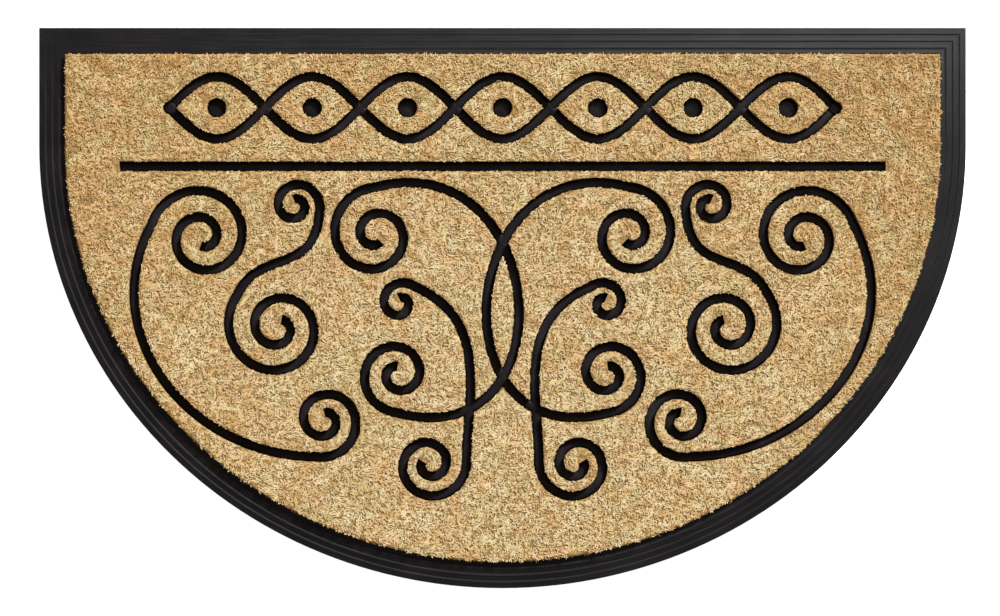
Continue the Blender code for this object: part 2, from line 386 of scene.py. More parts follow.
# The routes of the raised lines. Each scroll runs from one volute to another; a volute row holds its
# centre, outer and inner radius, turns, leaving direction in degrees, hand, and pull on the stretch.
scrolls = {
    "lyre": (
        (0.104, 0.060, 0.039, 0.007, 1.60, 90, 1, 0.80),
        (0.086, -0.054, 0.032, 0.006, 1.50, 270, -1, 0.80),
    ),
    "haunch": (
        (0.246, 0.058, 0.043, 0.007, 1.75, 14, -1, 0.44),
        (0.146, -0.092, 0.031, 0.006, 1.55, 285, 1, 0.44),
    ),
    "shoulder": (
        (0.170, 0.084, 0.021, 0.005, 1.35, 200, 1, 0.55),
        (0.184, -0.016, 0.043, 0.007, 1.80, 40, 1, 0.45),
    ),
    "foot": (
        (0.060, -0.128, 0.031, 0.006, 1.60, 168, -1, 0.40),
        (0.084, 0.004, 0.018, 0.004, 1.15, 130, 1, 0.45),
    ),
}
lines = {
    "width": 0.0080,
    "channel": 0.0086,
    "foot": 0.0022,  # the height at which a line leaves the backing sheet
    "top": 0.0056,
    "sectionSteps": 10,
    "sideFullness": 0.62,  # below 1 a line's sides are steeper than half an ellipse's
    "topFullness": 0.55,
    "endFade": (0.45, 0.72, 0.88, 0.97),
    "pointsPerTurn": 44,
    "cadPointsPerTurn": 20,
    "stretchStep": 0.006,
    "voluteGrowth": 1.15,
    "barY": 0.116,
    "barHalfLength": 0.314,
    "barSteps": 40,
    "bandY": 0.164,
    "bandLength": 0.546,
    "bandHalfHeight": 0.0255,
    "bandEyes": 7,
    "stepsPerEye": 24,
    "studRadius": 0.0080,
    "studRound": 0.0018,
    "tipRadius": 0.0052,
}


def volutePoints(centreX, centreY, outer, inner, turns, leave, hand):
    count = round(turns * lines["pointsPerTurn"])
    points = []
    for index in range(count + 1):
        share = index / count
        angle = math.radians(leave) - hand * (1 - share) * turns * 2 * math.pi
        radius = inner + (outer - inner) * share ** lines["voluteGrowth"]
        points.append((centreX + radius * math.cos(angle), centreY + radius * math.sin(angle)))
    return points


# The stretch leaves each volute along a chord as long as the CAD's own, so both keep one line.
def leavingPoint(row):
    centreX, centreY, outer, inner, turns, leave, hand, _ = row
    back = 1 / round(turns * lines["cadPointsPerTurn"])
    angle = math.radians(leave) - hand * back * turns * 2 * math.pi
    radius = inner + (outer - inner) * (1 - back) ** lines["voluteGrowth"]
    return centreX + radius * math.cos(angle), centreY + radius * math.sin(angle)


def aheadOf(before, last, reach):
    length = math.dist(before, last)
    return tuple(b + (b - a) / length * reach for a, b in zip(before, last))


def scrollPoints(firstRow, secondRow):
    first = volutePoints(*firstRow[:-1])
    second = volutePoints(*secondRow[:-1])
    reach = math.dist(first[-1], second[-1])
    anchors = (
        first[-1],
        aheadOf(leavingPoint(firstRow), first[-1], reach * firstRow[-1]),
        aheadOf(leavingPoint(secondRow), second[-1], reach * secondRow[-1]),
        second[-1],
    )
    count = round(sum(math.dist(a, b) for a, b in zip(anchors, anchors[1:])) / lines["stretchStep"])
    between = []
    for index in range(1, count):
        t = index / count
        weights = ((1 - t) ** 3, 3 * (1 - t) ** 2 * t, 3 * (1 - t) * t ** 2, t ** 3)
        between.append(tuple(sum(w * a[axis] for w, a in zip(weights, anchors)) for axis in (0, 1)))
    return first + between + second[::-1]


def wavePoints(side):
    count = lines["bandEyes"] * lines["stepsPerEye"]
    points = []
    for index in range(count + 1):
        share = index / count
        height = lines["bandHalfHeight"] * math.sin(math.pi * lines["bandEyes"] * share)
        points.append((lines["bandLength"] * (share - 0.5), lines["bandY"] + side * height))
    return points


def lineRoutes():
    bar = []
    for index in range(lines["barSteps"] + 1):
        bar.append((lines["barHalfLength"] * (2 * index / lines["barSteps"] - 1), lines["barY"]))
    routes = [bar, wavePoints(1), wavePoints(-1)]
    for rows in scrolls.values():
        route = scrollPoints(*rows)
        routes.append(route)
        routes.append([(-x, y) for x, y in route])
    return routes


def studRows():
    pitch = lines["bandLength"] / lines["bandEyes"]
    rows = [(-lines["bandLength"] / 2, lines["tipRadius"])]
    for index in range(lines["bandEyes"]):
        rows.append(((index + 0.5) * pitch - lines["bandLength"] / 2, lines["studRadius"]))
    rows.append((lines["bandLength"] / 2, lines["tipRadius"]))
    return rows


routes = lineRoutes()


# A flat half-round plate drawn with a circle, cut in half, stretched, and run back to the straight edge
def halfRoundPlate(inset, arcSteps, height):
    clearSelection()
    bpy.ops.mesh.primitive_circle_add(
        vertices=arcSteps * 2, radius=1.0, fill_type="NGON", location=(0, arcY, 0))
    plate = bpy.context.object
    halfWidth = mat["halfWidth"] - inset
    arcDepth = arcY - mat["front"] - inset
    bpy.ops.object.mode_set(mode="EDIT")
    bpy.ops.mesh.select_all(action="SELECT")
    bpy.ops.mesh.bisect(plane_co=(0, arcY, 0), plane_no=(0, 1, 0), clear_outer=True)
    bpy.ops.mesh.select_all(action="SELECT")
    bpy.ops.transform.resize(value=(halfWidth, arcDepth, 1), center_override=(0, arcY, 0))
    bpy.ops.mesh.remove_doubles(threshold=0.00001)
    bpy.ops.object.mode_set(mode="OBJECT")
    selectEdges(plate, lambda a, b: abs(a.y) < 0.0001 and abs(b.y) < 0.0001)
    bpy.ops.object.mode_set(mode="EDIT")
    bpy.ops.mesh.extrude_region_move(
        TRANSFORM_OT_translate={"value": (0, mat["sideLength"] - inset, 0)})
    bpy.ops.mesh.select_all(action="SELECT")
    bpy.ops.mesh.dissolve_limited(angle_limit=0.0001)
    bpy.ops.mesh.select_all(action="SELECT")
    bpy.ops.transform.translate(value=(0, 0, height))
    bpy.ops.object.mode_set(mode="OBJECT")
    return plate


# selects edges by a test on their two ends, in the object's own space
def selectEdges(piece, wanted):
    bpy.ops.object.mode_set(mode="EDIT")
    bpy.ops.mesh.select_mode(type="EDGE")
    bpy.ops.mesh.select_all(action="DESELECT")
    bpy.ops.object.mode_set(mode="OBJECT")
    points = piece.data.vertices
    for edge in piece.data.edges:
        edge.select = wanted(points[edge.vertices[0]].co, points[edge.vertices[1]].co)


print("routes worked out:", len(routes))


rubberBase = {
    "sheet": 0.0025,
    "edgeHeight": 0.0028,
    "crestHeight": 0.0060,
    "edgeRound": 0.0008,
    "crestFlat": 0.0020,
    "ribDrops": (0.0056, 0.0113, 0.0171),  # where each rib drops on its inner side
    "dropRun": 0.0012,
    "ribCrest": 0.0003,
    "ribValley": 0.0003,
    "ribHollow": 0.00012,  # how far a rib's slope sags between its valley and its crest
    "ribSteps": 4,
    "arcSteps": 110,
}


# section of the rim from its outer edge inwards: distance from the edge and height
def rimRows():
    made = rubberBase
    start, end = made["edgeRound"], mat["rimWidth"] - made["crestFlat"]

    def slope(distance):
        share = (distance - start) / (end - start)
        return made["edgeHeight"] + share * (made["crestHeight"] - made["edgeHeight"])

    rows = [(0.0, made["edgeHeight"] - made["edgeRound"])]
    rows.append((made["edgeRound"] * 0.3, made["edgeHeight"] - made["edgeRound"] * 0.3))
    low = (start, made["edgeHeight"])
    for drop in (*made["ribDrops"], None):
        if drop is None:
            high = (end, made["crestHeight"])
        else:
            crest = drop - made["dropRun"] / 2
            high = (crest, slope(crest) + made["ribCrest"])
        for step in range(made["ribSteps"] + 1):
            share = step / made["ribSteps"]
            sag = made["ribHollow"] * math.sin(math.pi * share)
            height = low[1] + share * (high[1] - low[1]) - sag
            rows.append((low[0] + share * (high[0] - low[0]), height))
        if drop is not None:
            rows.append((crest + 0.00025, high[1] - 0.00004))
            valley = drop + made["dropRun"] / 2
            low = (valley, slope(valley) - made["ribValley"])
    rows.append((mat["rimWidth"] - 0.0006, made["crestHeight"]))
    rows.append((mat["rimWidth"] - 0.0002, made["crestHeight"] - 0.0003))
    rows.append((mat["rimWidth"], made["sheet"]))
    return rows


# draws the top face of a plate up and in, row by row; the rows are the section of its edge
def raiseRows(plate, rows, bottom):
    bpy.context.view_layer.objects.active = plate
    bpy.ops.object.mode_set(mode="EDIT")
    bpy.ops.mesh.select_mode(type="FACE")
    bpy.ops.mesh.select_all(action="SELECT")
    bpy.ops.mesh.extrude_region_move(TRANSFORM_OT_translate={"value": (0, 0, rows[0][1] - bottom)})
    for (distance, height), (nextDistance, nextHeight) in zip(rows, rows[1:]):
        bpy.ops.mesh.inset(thickness=nextDistance - distance, depth=0, use_even_offset=True)
        bpy.ops.transform.translate(value=(0, 0, nextHeight - height))
    bpy.ops.mesh.select_all(action="SELECT")
    bpy.ops.mesh.normals_make_consistent(inside=False)
    bpy.ops.object.mode_set(mode="OBJECT")


# map around the rim in metres: along the edge, and in from it
def mapAroundRim(piece):
    layer = piece.data.uv_layers.new(name="aroundRim")
    halfWidth, arcDepth = mat["halfWidth"], arcY - mat["front"]
    points = piece.data.vertices
    for face in piece.data.polygons:
        middle = face.center
        onBack = mat["back"] - middle.y < halfWidth - abs(middle.x)
        for loop in face.loop_indices:
            x, y, _ = points[piece.data.loops[loop].vertex_index].co
            if middle.y < arcY:
                reach = math.hypot(x / halfWidth, (y - arcY) / arcDepth)
                around = math.atan2((y - arcY) / arcDepth, x / halfWidth)
                layer.data[loop].uv = (2.0 + around * halfWidth, (1 - reach) * halfWidth)
            elif onBack:
                layer.data[loop].uv = (x, mat["back"] - y)
            else:
                layer.data[loop].uv = (y + math.copysign(4.0, x), halfWidth - abs(x))


def buildRubberBase():
    plate = halfRoundPlate(0.0, rubberBase["arcSteps"], 0.0)
    raiseRows(plate, rimRows(), 0.0)
    mapAroundRim(plate)
    finishPiece(plate, "rubberRimAndBacking", rimRubber)
    bpy.ops.object.shade_smooth_by_angle(angle=math.radians(32))
    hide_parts("rubber_base")
    return plate


def polyCurve(name, points, radii, closed):
    curve = bpy.data.curves.new(name, "CURVE")
    curve.dimensions = "3D"
    curve.twist_mode = "Z_UP"
    spline = curve.splines.new("POLY")
    spline.points.add(len(points) - 1)
    for point, place, radius in zip(spline.points, points, radii):
        point.co = (*place, 1.0)
        point.radius = radius
    spline.use_cyclic_u = closed
    item = bpy.data.objects.new(name, curve)
    scene.collection.objects.link(item)
    return item


# sweeps a section along each route at one height and joins what comes out into one mesh
def sweepRoutes(name, section, height, radiiFor):
    outline = polyCurve(name + "Section", [(*corner, 0.0) for corner in section],
                        [1.0] * len(section), True)
    swept = []
    for route in routes:
        line = polyCurve(name, [(x, y, height) for x, y in route], radiiFor(route), False)
        line.data.bevel_mode = "OBJECT"
        line.data.bevel_object = outline
        line.data.use_fill_caps = True
        swept.append(line)
    clearSelection()
    for line in swept:
        line.select_set(True)
    bpy.context.view_layer.objects.active = swept[0]
    bpy.ops.object.convert(target="MESH")
    swept = list(bpy.context.selected_objects)
    bpy.data.objects.remove(outline)
    return swept


def roundedSection():
    half, tall = lines["width"] / 2, lines["top"] - lines["foot"]
    corners = []
    for index in range(lines["sectionSteps"] + 1):
        angle = math.pi * index / lines["sectionSteps"]
        side, up = math.cos(angle), math.sin(angle)
        across = math.copysign(abs(side) ** lines["sideFullness"], side) * half
        corners.append((across, up ** lines["topFullness"] * tall))
    return corners


# the scrolls and waves thin out at their ends, and the bar keeps its square ends
def fadedEnds(route):
    fade = lines["endFade"]
    radii = [1.0] * len(route)
    if len(route) > lines["barSteps"] + 1:
        radii[:len(fade)] = fade
        radii[-len(fade):] = fade[::-1]
    return radii


# a stud is a short cylinder with its upper edge rounded
def addStud(x, radius, low, high, rounding):
    clearSelection()
    bpy.ops.mesh.primitive_cylinder_add(
        vertices=36, radius=radius, depth=high - low, location=(x, lines["bandY"], (low + high) / 2))
    stud = bpy.context.object
    if rounding:
        top = (high - low) / 2
        selectEdges(stud, lambda a, b: a.z > top - 0.00001 and b.z > top - 0.00001)
        bpy.ops.object.mode_set(mode="EDIT")
        bpy.ops.mesh.bevel(offset=rounding, segments=4)
        bpy.ops.object.mode_set(mode="OBJECT")
    return stud


def joinAll(items):
    clearSelection()
    for item in items:
        item.select_set(True)
    bpy.context.view_layer.objects.active = items[0]
    bpy.ops.object.join()
    return bpy.context.object


def mergeClose(piece):
    bpy.context.view_layer.objects.active = piece
    bpy.ops.object.mode_set(mode="EDIT")
    bpy.ops.mesh.select_all(action="SELECT")
    bpy.ops.mesh.remove_doubles(threshold=0.00001)
    bpy.ops.mesh.normals_make_consistent(inside=False)
    bpy.ops.object.mode_set(mode="OBJECT")


def buildLines():
    swept = sweepRoutes("line", roundedSection(), lines["foot"], fadedEnds)
    for x, radius in studRows():
        swept.append(addStud(x, radius, lines["foot"], lines["top"], lines["studRound"]))
    piece = joinAll(swept)
    mergeClose(piece)
    finishPiece(piece, "rubberLines", rubber)
    bpy.ops.object.shade_smooth_by_angle(angle=math.radians(40))
    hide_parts("rubber_base")
    return piece


base = buildRubberBase()
print("rubber base built")
buildLines()
print("rubber lines built")


# the matted body of the coir, under the cut tips, with the channels for the lines cut through
coirGround = {
    "bottom": coirLow[2],
    "top": 0.0112,
    "edgeRound": 0.0012,
    "studChannel": 0.0003,
    "cutBottom": 0.0010,  # the channels are cut from below the coir to above it
    "cutTop": 0.0130,
}


def buildGround():
    inset = mat["rimWidth"] + mat["coirGap"]
    ground = halfRoundPlate(inset, rubberBase["arcSteps"], coirGround["bottom"])
    rounding = coirGround["edgeRound"]
    raiseRows(ground, [(0.0, coirGround["top"] - rounding), (rounding, coirGround["top"])],
              coirGround["bottom"])
    low, high = coirGround["cutBottom"], coirGround["cutTop"]
    half, tall = lines["channel"] / 2, high - low
    box = [(-half, 0.0), (half, 0.0), (half, tall), (-half, tall)]
    cutters = sweepRoutes("channel", box, low, lambda route: [1.0] * len(route))
    for x, radius in studRows():
        cutters.append(addStud(x, radius + coirGround["studChannel"], low, high, 0.0))
    channels = bpy.data.collections.new("channels")
    scene.collection.children.link(channels)
    for cutter in cutters:
        mergeClose(cutter)
        channels.objects.link(cutter)
    clearSelection()
    bpy.context.view_layer.objects.active = ground
    cut = ground.modifiers.new("channels", "BOOLEAN")
    cut.operand_type = "COLLECTION"
    cut.collection = channels
    bpy.ops.object.modifier_apply(modifier=cut.name)
    for cutter in cutters:
        bpy.data.objects.remove(cutter)
    bpy.data.collections.remove(channels)
    finishPiece(ground, "coirGround", mattedCoir)
    eyes = [f"coir_eye_{index}" for index in range(1, lines["bandEyes"] + 1)]
    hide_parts("coir_field", "coir_lens", *eyes)
    return ground


ground = buildGround()
print("coir ground built:", len(ground.data.polygons), "faces")


# The pile: cut fibres that stand out of the ground. They are made as a few joined meshes from arrays.
pile = {
    "seed": 41,
    "spacing": 0.00110,
    "scatterShare": 1.3,  # of the spacing
    "rootHeight": 0.0115,
    "tipHeight": 0.0124,
    "tipSpread": 0.0005,
    "tipPastCad": 0.0003,  # no tip stands higher than this above the solids
    "lean": (0.0026, 0.0056),  # how far a tip lies from over its root
    "width": (0.00055, 0.00110),
    "widest": (0.45, 0.75),  # where a lock is widest, from its root to its tip
    "thickness": 0.14,  # of the width
    "evenness": 0.7,  # how far the normals of lying locks turn upright
    "roundness": 0.35,
    "tipTurn": 0.2,
    "tuftSpacing": 0.0030,
    "tuftPull": 0.35,  # how far the tips of a tuft close up
    "leanPatch": 0.0060,
    "leanShare": 0.62,
    "combing": (0.25, 0.05),  # the whole pile leans a little to the right
    "fromChannel": 0.0001,
    "edgeSplay": 0.0026,  # this near to a channel the pile rounds off
    "edgeDrop": 0.0008,
    "clumpSize": 0.0055,
    "clumpLift": 0.0008,
    "raggedSizes": (0.0085, 0.0040),
    "overhang": (0.0, 0.0013),
    "rimOverhang": (0.0, 0.0036),
    "edgeMargin": (0.0, 0.0026),  # the pile's own edge wavers this far inside the ground's
    "edgeWaver": 0.0060,
    "cornerRound": 0.0045,
    "panels": 4,
    "fieldStep": 0.0005,
    "fieldReach": 0.014,
    "fieldFar": 0.05,  # stands for any place that is out of reach of a channel
}
# upright fibres on the walls of the channels and on the outer edge
pileWalls = {
    "spacing": 0.0006,
    "band": (0.00005, 0.0005),  # how far from the wall's face the fibres stand
    "lean": (0.0003, 0.0012),
    "foot": (0.0042, 0.0072),
    "top": 0.0122,
    "outerBand": 0.001,
    "outerDrop": 0.0008,  # those on the outer edge are lower by this
}
# longer fibres that lie over the tips of the others
strands = {
    "count": 9000,
    "length": (0.0035, 0.0075),
    "width": 0.00032,
    "height": (0.0121, 0.0131),
    "rootDepth": 0.0015,
    "bow": 0.5,
    "fromChannel": 0.0006,
    "fromEdge": 0.001,
}
# How the tints are drawn: the share of orange-brown fibres, and how pale each fibre is. Both have a mean
# and change by patches or clumps, by a wide drift over the mat, and towards the back corners.
pileTints = {
    "patchSize": 0.010,
    "driftSize": 0.045,
    "familyRange": 0.49,  # each family of tints takes this much of the tint range, one at each end
    "orange": {"mean": 0.51, "patch": 2.0, "drift": 0.5, "corner": 0.6},
    "pale": {"mean": 0.75, "clump": 0.55, "tuft": 0.26, "fibre": -0.32, "drift": 0.14, "corner": -0.32},
    "cornerSide": 0.7,
    "cornerBack": 0.5,
    "cornerMean": 0.4,
}
chance = np.random.default_rng(pile["seed"])


# how far each place on a grid lies from the nearest channel wall
def channelField():
    step = pile["fieldStep"]
    columns = int(2 * mat["halfWidth"] / step) + 1
    rows = int((mat["back"] - mat["front"]) / step) + 1
    field = np.full((rows, columns), pile["fieldFar"])
    reach = int(pile["fieldReach"] / step)

    def stamp(x, y, radius):
        column = int((x + mat["halfWidth"]) / step)
        row = int((y - mat["front"]) / step)
        left, right = max(column - reach, 0), min(column + reach, columns)
        low, high = max(row - reach, 0), min(row + reach, rows)
        across = (np.arange(left, right) * step - mat["halfWidth"] - x) ** 2
        along = (np.arange(low, high) * step + mat["front"] - y) ** 2
        away = np.sqrt(along[:, None] + across[None, :]) - radius
        field[low:high, left:right] = np.minimum(field[low:high, left:right], away)

    for route in routes:
        for (startX, startY), (endX, endY) in zip(route, route[1:]):
            pieces = max(1, round(math.hypot(endX - startX, endY - startY) / (2 * step)))
            for index in range(pieces):
                share = index / pieces
                stamp(startX + share * (endX - startX), startY + share * (endY - startY),
                      lines["channel"] / 2)
    for x, radius in studRows():
        stamp(x, lines["bandY"], radius + coirGround["studChannel"])
    return field


toChannel = channelField()


def readField(x, y):
    step = pile["fieldStep"]
    column = np.clip(((x + mat["halfWidth"]) / step).round().astype(int), 0, toChannel.shape[1] - 1)
    row = np.clip(((y - mat["front"]) / step).round().astype(int), 0, toChannel.shape[0] - 1)
    return toChannel[row, column]


# how far places lie inside the coir's outer edge, whose back corners are rounded
def insideEdge(x, y):
    inset = mat["rimWidth"] + mat["coirGap"]
    halfWidth, arcDepth = mat["halfWidth"] - inset, arcY - mat["front"] - inset
    fromSide = halfWidth - np.abs(x)
    fromBack = mat["back"] - inset - y
    rounding = pile["cornerRound"]
    cornerX, cornerY = np.maximum(rounding - fromSide, 0), np.maximum(rounding - fromBack, 0)
    corner = rounding - np.hypot(cornerX, cornerY)
    sides = np.minimum(np.minimum(fromSide, fromBack), corner)
    sides = np.where((cornerX > 0) & (cornerY > 0), sides, np.minimum(fromSide, fromBack))
    arc = (1 - np.hypot(x / halfWidth, (y - arcY) / arcDepth)) * (halfWidth + arcDepth) / 2
    return np.where(y > arcY, sides, arc)


# a smooth random value for each place, from a coarse grid of random values
def softNoise(x, y, size):
    columns = int(2 * mat["halfWidth"] / size) + 3
    rows = int((mat["back"] - mat["front"]) / size) + 3
    grid = chance.random((rows, columns))
    across, along = (x + mat["halfWidth"]) / size, (y - mat["front"]) / size
    column = np.clip(across.astype(int), 0, columns - 2)
    row = np.clip(along.astype(int), 0, rows - 2)
    right, up = across - column, along - row
    right, up = right * right * (3 - 2 * right), up * up * (3 - 2 * up)
    low = grid[row, column] * (1 - right) + grid[row, column + 1] * right
    high = grid[row + 1, column] * (1 - right) + grid[row + 1, column + 1] * right
    return low * (1 - up) + high * up


def between(limits, shares):
    return limits[0] + (limits[1] - limits[0]) * shares


# The tint of a fibre has two parts: the family that it is from, and how pale it is within it.
def tintsFor(x, y, tuftOwn):
    orange, pale = pileTints["orange"], pileTints["pale"]
    corner = (np.abs(x) / mat["halfWidth"]) ** 2 * pileTints["cornerSide"]
    corner += np.clip(y / mat["back"], 0, 1) * pileTints["cornerBack"] - pileTints["cornerMean"]
    drift = softNoise(x, y, pileTints["driftSize"]) - 0.5
    patch = softNoise(x, y, pileTints["patchSize"]) - 0.5
    clump = softNoise(x, y, pile["clumpSize"]) - 0.5
    orangeShare = orange["mean"] + patch * orange["patch"] + drift * orange["drift"]
    orangeShare += corner * orange["corner"]
    isOrange = chance.random(len(x)) < orangeShare
    own = chance.random(len(x)) ** 3
    paleness = pale["mean"] + clump * pale["clump"] + (tuftOwn - 0.5) * pale["tuft"]
    paleness += own * pale["fibre"] + drift * pale["drift"] + corner * pale["corner"]
    within = np.clip(paleness, 0.02, 0.98) * pileTints["familyRange"]
    return np.where(isOrange, within, 1 - pileTints["familyRange"] + within)


# tufts stand on a loose grid: each place gets its tuft's middle and that tuft's own random values
def tuftsFor(x, y):
    size = pile["tuftSpacing"]
    columns = int(2 * mat["halfWidth"] / size) + 2
    rows = int((mat["back"] - mat["front"]) / size) + 2
    grids = chance.random((4, rows, columns))
    row = np.clip(((y - mat["front"]) / size).astype(int), 0, rows - 1)
    shift = (row % 2) * 0.5
    column = np.clip(((x + mat["halfWidth"]) / size + shift).astype(int), 0, columns - 1)
    middleX = (column - shift + 0.2 + 0.6 * grids[0, row, column]) * size - mat["halfWidth"]
    middleY = (row + 0.2 + 0.6 * grids[1, row, column]) * size + mat["front"]
    return middleX, middleY, grids[2, row, column], grids[3, row, column]


# pulls tips back until they hang out over a channel or the rim by no more than they may
def keepInside(x, y, leanX, leanY):
    count = len(x)
    coarse, fine = pile["raggedSizes"]
    ragged = 0.6 * softNoise(x, y, coarse) + 0.4 * softNoise(x, y, fine)
    free = between(pile["overhang"], 0.6 * ragged + 0.4 * chance.random(count))
    rimFree = between(pile["rimOverhang"], 0.6 * ragged ** 1.5 + 0.4 * chance.random(count) ** 2)
    kept = np.zeros(count)
    for share in (0.2, 0.4, 0.6, 0.8, 1.0):
        tipX, tipY = x + leanX * share, y + leanY * share
        fits = (readField(tipX, tipY) > -free) & (insideEdge(tipX, tipY) > -rimFree)
        kept = np.where(fits & (kept > share - 0.3), share, kept)
    return x + leanX * kept, y + leanY * kept


# neighbouring fibres lean in part the same way and in part each its own way
def leanings(x, y, amounts):
    tuftTurn = softNoise(x, y, pile["leanPatch"]) * 4 * math.pi
    ownTurn = chance.random(len(x)) * 2 * math.pi
    share = pile["leanShare"]
    leanX = share * np.cos(tuftTurn) + (1 - share) * np.cos(ownTurn) + pile["combing"][0]
    leanY = share * np.sin(tuftTurn) + (1 - share) * np.sin(ownTurn) + pile["combing"][1]
    return leanX * amounts, leanY * amounts


# A joined mesh of many like shapes. points is shapes by corners by 3, and faces are the corners of one
# shape; along is each corner's place from root to tip, and spread is what it adds to the tint.
def meshFromArrays(name, points, faces, along, spread, tints, normals=None):
    shapes, corners = points.shape[:2]
    faces = np.array(faces)
    starts = (np.arange(shapes) * corners)[:, None, None]
    loops = (starts + faces[None, :, :]).reshape(-1)
    mesh = bpy.data.meshes.new(name)
    mesh.vertices.add(shapes * corners)
    mesh.vertices.foreach_set("co", points.reshape(-1).astype(np.float32))
    mesh.loops.add(len(loops))
    mesh.loops.foreach_set("vertex_index", loops.astype(np.int32))
    mesh.polygons.add(shapes * len(faces))
    mesh.polygons.foreach_set("loop_start", np.arange(0, len(loops), 3, dtype=np.int32))
    mesh.update(calc_edges=True)
    layer = mesh.uv_layers.new(name="OFBake")
    tintAt = np.clip(tints[:, None] + np.array(spread)[None, :], 0.0, 1.0)
    rootAt = np.broadcast_to(np.array(along)[None, :], tintAt.shape)
    places = np.stack([tintAt, rootAt], axis=2).reshape(-1, 2)
    layer.data.foreach_set("uv", places[loops].reshape(-1).astype(np.float32))
    mesh.validate()
    if normals is not None:
        mesh.normals_split_custom_set_from_vertices(normals.reshape(-1, 3).astype(np.float32))
    piece = bpy.data.objects.new(name, mesh)
    scene.collection.objects.link(piece)
    finishPiece(piece, name, coir)
    return piece


# three corners around each place, square to a direction
def ringAround(places, direction, widths, turns):
    direction = direction / np.linalg.norm(direction, axis=1)[:, None]
    upright = np.tile((0.0, 0.0, 1.0), (len(places), 1))
    upright[np.abs(direction[:, 2]) > 0.95] = (1.0, 0.0, 0.0)
    side = np.cross(direction, upright)
    side /= np.linalg.norm(side, axis=1)[:, None]
    other = np.cross(direction, side)
    corners = []
    for index in range(3):
        angle = turns + index * 2 * math.pi / 3
        offset = side * np.cos(angle)[:, None] + other * np.sin(angle)[:, None]
        corners.append(places + offset * (widths / 2)[:, None])
    return corners


# Locks of fibre: each is a sliver of four faces, with a ridge from its buried root to its tip and
# its widest place part of the way along. Lying locks get normals that are rounded, as those of a
# bundle of fibres are.
def addLocks(name, x, y, tipX, tipY, low, high, widths, tints, panels, lying):
    count = len(x)
    roots = np.stack([x, y, low], axis=1)
    tips = np.stack([tipX, tipY, high], axis=1)
    run = tips - roots
    side = np.stack([-run[:, 1], run[:, 0], np.zeros(count)], axis=1)
    flat = np.linalg.norm(side, axis=1)
    turns = chance.random(count) * 2 * math.pi
    loose = np.stack([np.cos(turns), np.sin(turns), np.zeros(count)], axis=1)
    least = 0.0003  # a run that is steeper than this gets a side of its own
    side = np.where(flat[:, None] > least, side / np.maximum(flat, least)[:, None], loose)
    course = run / np.linalg.norm(run, axis=1)[:, None]
    under = np.cross(course, side)
    under *= -np.sign(under[:, 2:3] + 0.000001)
    widest = roots + run * between(pile["widest"], chance.random(count))[:, None]
    widest += under * (widths * pile["thickness"])[:, None]
    left = widest + side * (widths / 2)[:, None]
    right = widest - side * (widths / 2)[:, None]
    points = np.stack([roots, tips, left, right], axis=1)
    crown = np.array([0.0, 0.0, 1.0]) * pile["evenness"] - under * (1 - pile["evenness"])
    tipCrown = crown + course * pile["tipTurn"]
    rounding = side * pile["roundness"]
    normals = np.stack([crown, tipCrown, crown + rounding, crown - rounding], axis=1)
    normals /= np.linalg.norm(normals, axis=2)[:, :, None]
    volume = np.einsum("ij,ij->i", np.cross(tips - roots, left - roots), right - roots)
    points[volume > 0] = points[volume > 0][:, (0, 1, 3, 2)]
    normals[volume > 0] = normals[volume > 0][:, (0, 1, 3, 2)]
    faces = [(0, 1, 2), (0, 3, 1), (0, 2, 3), (1, 3, 2)]
    for index, rows in enumerate(np.array_split(np.argsort(x), panels)):
        label = f"{name}{index + 1}" if panels > 1 else name
        meshFromArrays(label, points[rows], faces, (0.02, 0.98, 0.60, 0.60),
                       (0.0, 0.0, -0.004, 0.004), tints[rows], normals[rows] if lying else None)
    print(name, "locks:", count)


# places on a loose grid that lie within a band of distances from the nearest wall or edge
def scatter(step, band):
    across = np.arange(-mat["halfWidth"], mat["halfWidth"], step)
    along = np.arange(mat["front"], mat["back"], step)
    x, y = (axis.reshape(-1) for axis in np.meshgrid(across, along))
    x = x + (chance.random(len(x)) - 0.5) * step * pile["scatterShare"]
    y = y + (chance.random(len(y)) - 0.5) * step * pile["scatterShare"]
    nearest = np.minimum(readField(x, y), insideEdge(x, y))
    wanted = (nearest > band[0]) & (nearest < band[1])
    return x[wanted], y[wanted]


# the cut top of the pile
def buildTop():
    x, y = scatter(pile["spacing"], (pile["fromChannel"], mat["halfWidth"]))
    waver = softNoise(x, y, pile["edgeWaver"]) ** 1.5
    wanted = insideEdge(x, y) > between(pile["edgeMargin"], waver)
    x, y = x[wanted], y[wanted]
    count = len(x)
    leanX, leanY = leanings(x, y, between(pile["lean"], chance.random(count)))
    middleX, middleY, tuftLift, tuftTint = tuftsFor(x, y)
    leanX += (middleX - x) * pile["tuftPull"]
    leanY += (middleY - y) * pile["tuftPull"]
    tipX, tipY = keepInside(x, y, leanX, leanY)
    lift = tuftLift - 0.5 + chance.random(count) - 0.5
    nearest = readField(tipX, tipY)
    nearness = 1 - np.clip(nearest / pile["edgeSplay"], 0, 1)
    clumps = softNoise(tipX, tipY, pile["clumpSize"]) - 0.5
    high = pile["tipHeight"] + lift * pile["tipSpread"] + clumps * pile["clumpLift"]
    high = np.minimum(high - nearness ** 2 * pile["edgeDrop"], cadBox[1][2] + pile["tipPastCad"])
    shoulder = coirGround["edgeRound"]
    low = pile["rootHeight"] - shoulder * np.clip(1 - insideEdge(x, y) / shoulder, 0, 1)
    widths = between(pile["width"], chance.random(count) ** 1.5)
    tints = tintsFor(x, y, tuftTint)
    addLocks("coirPile", x, y, tipX, tipY, low, high, widths, tints, pile["panels"], True)


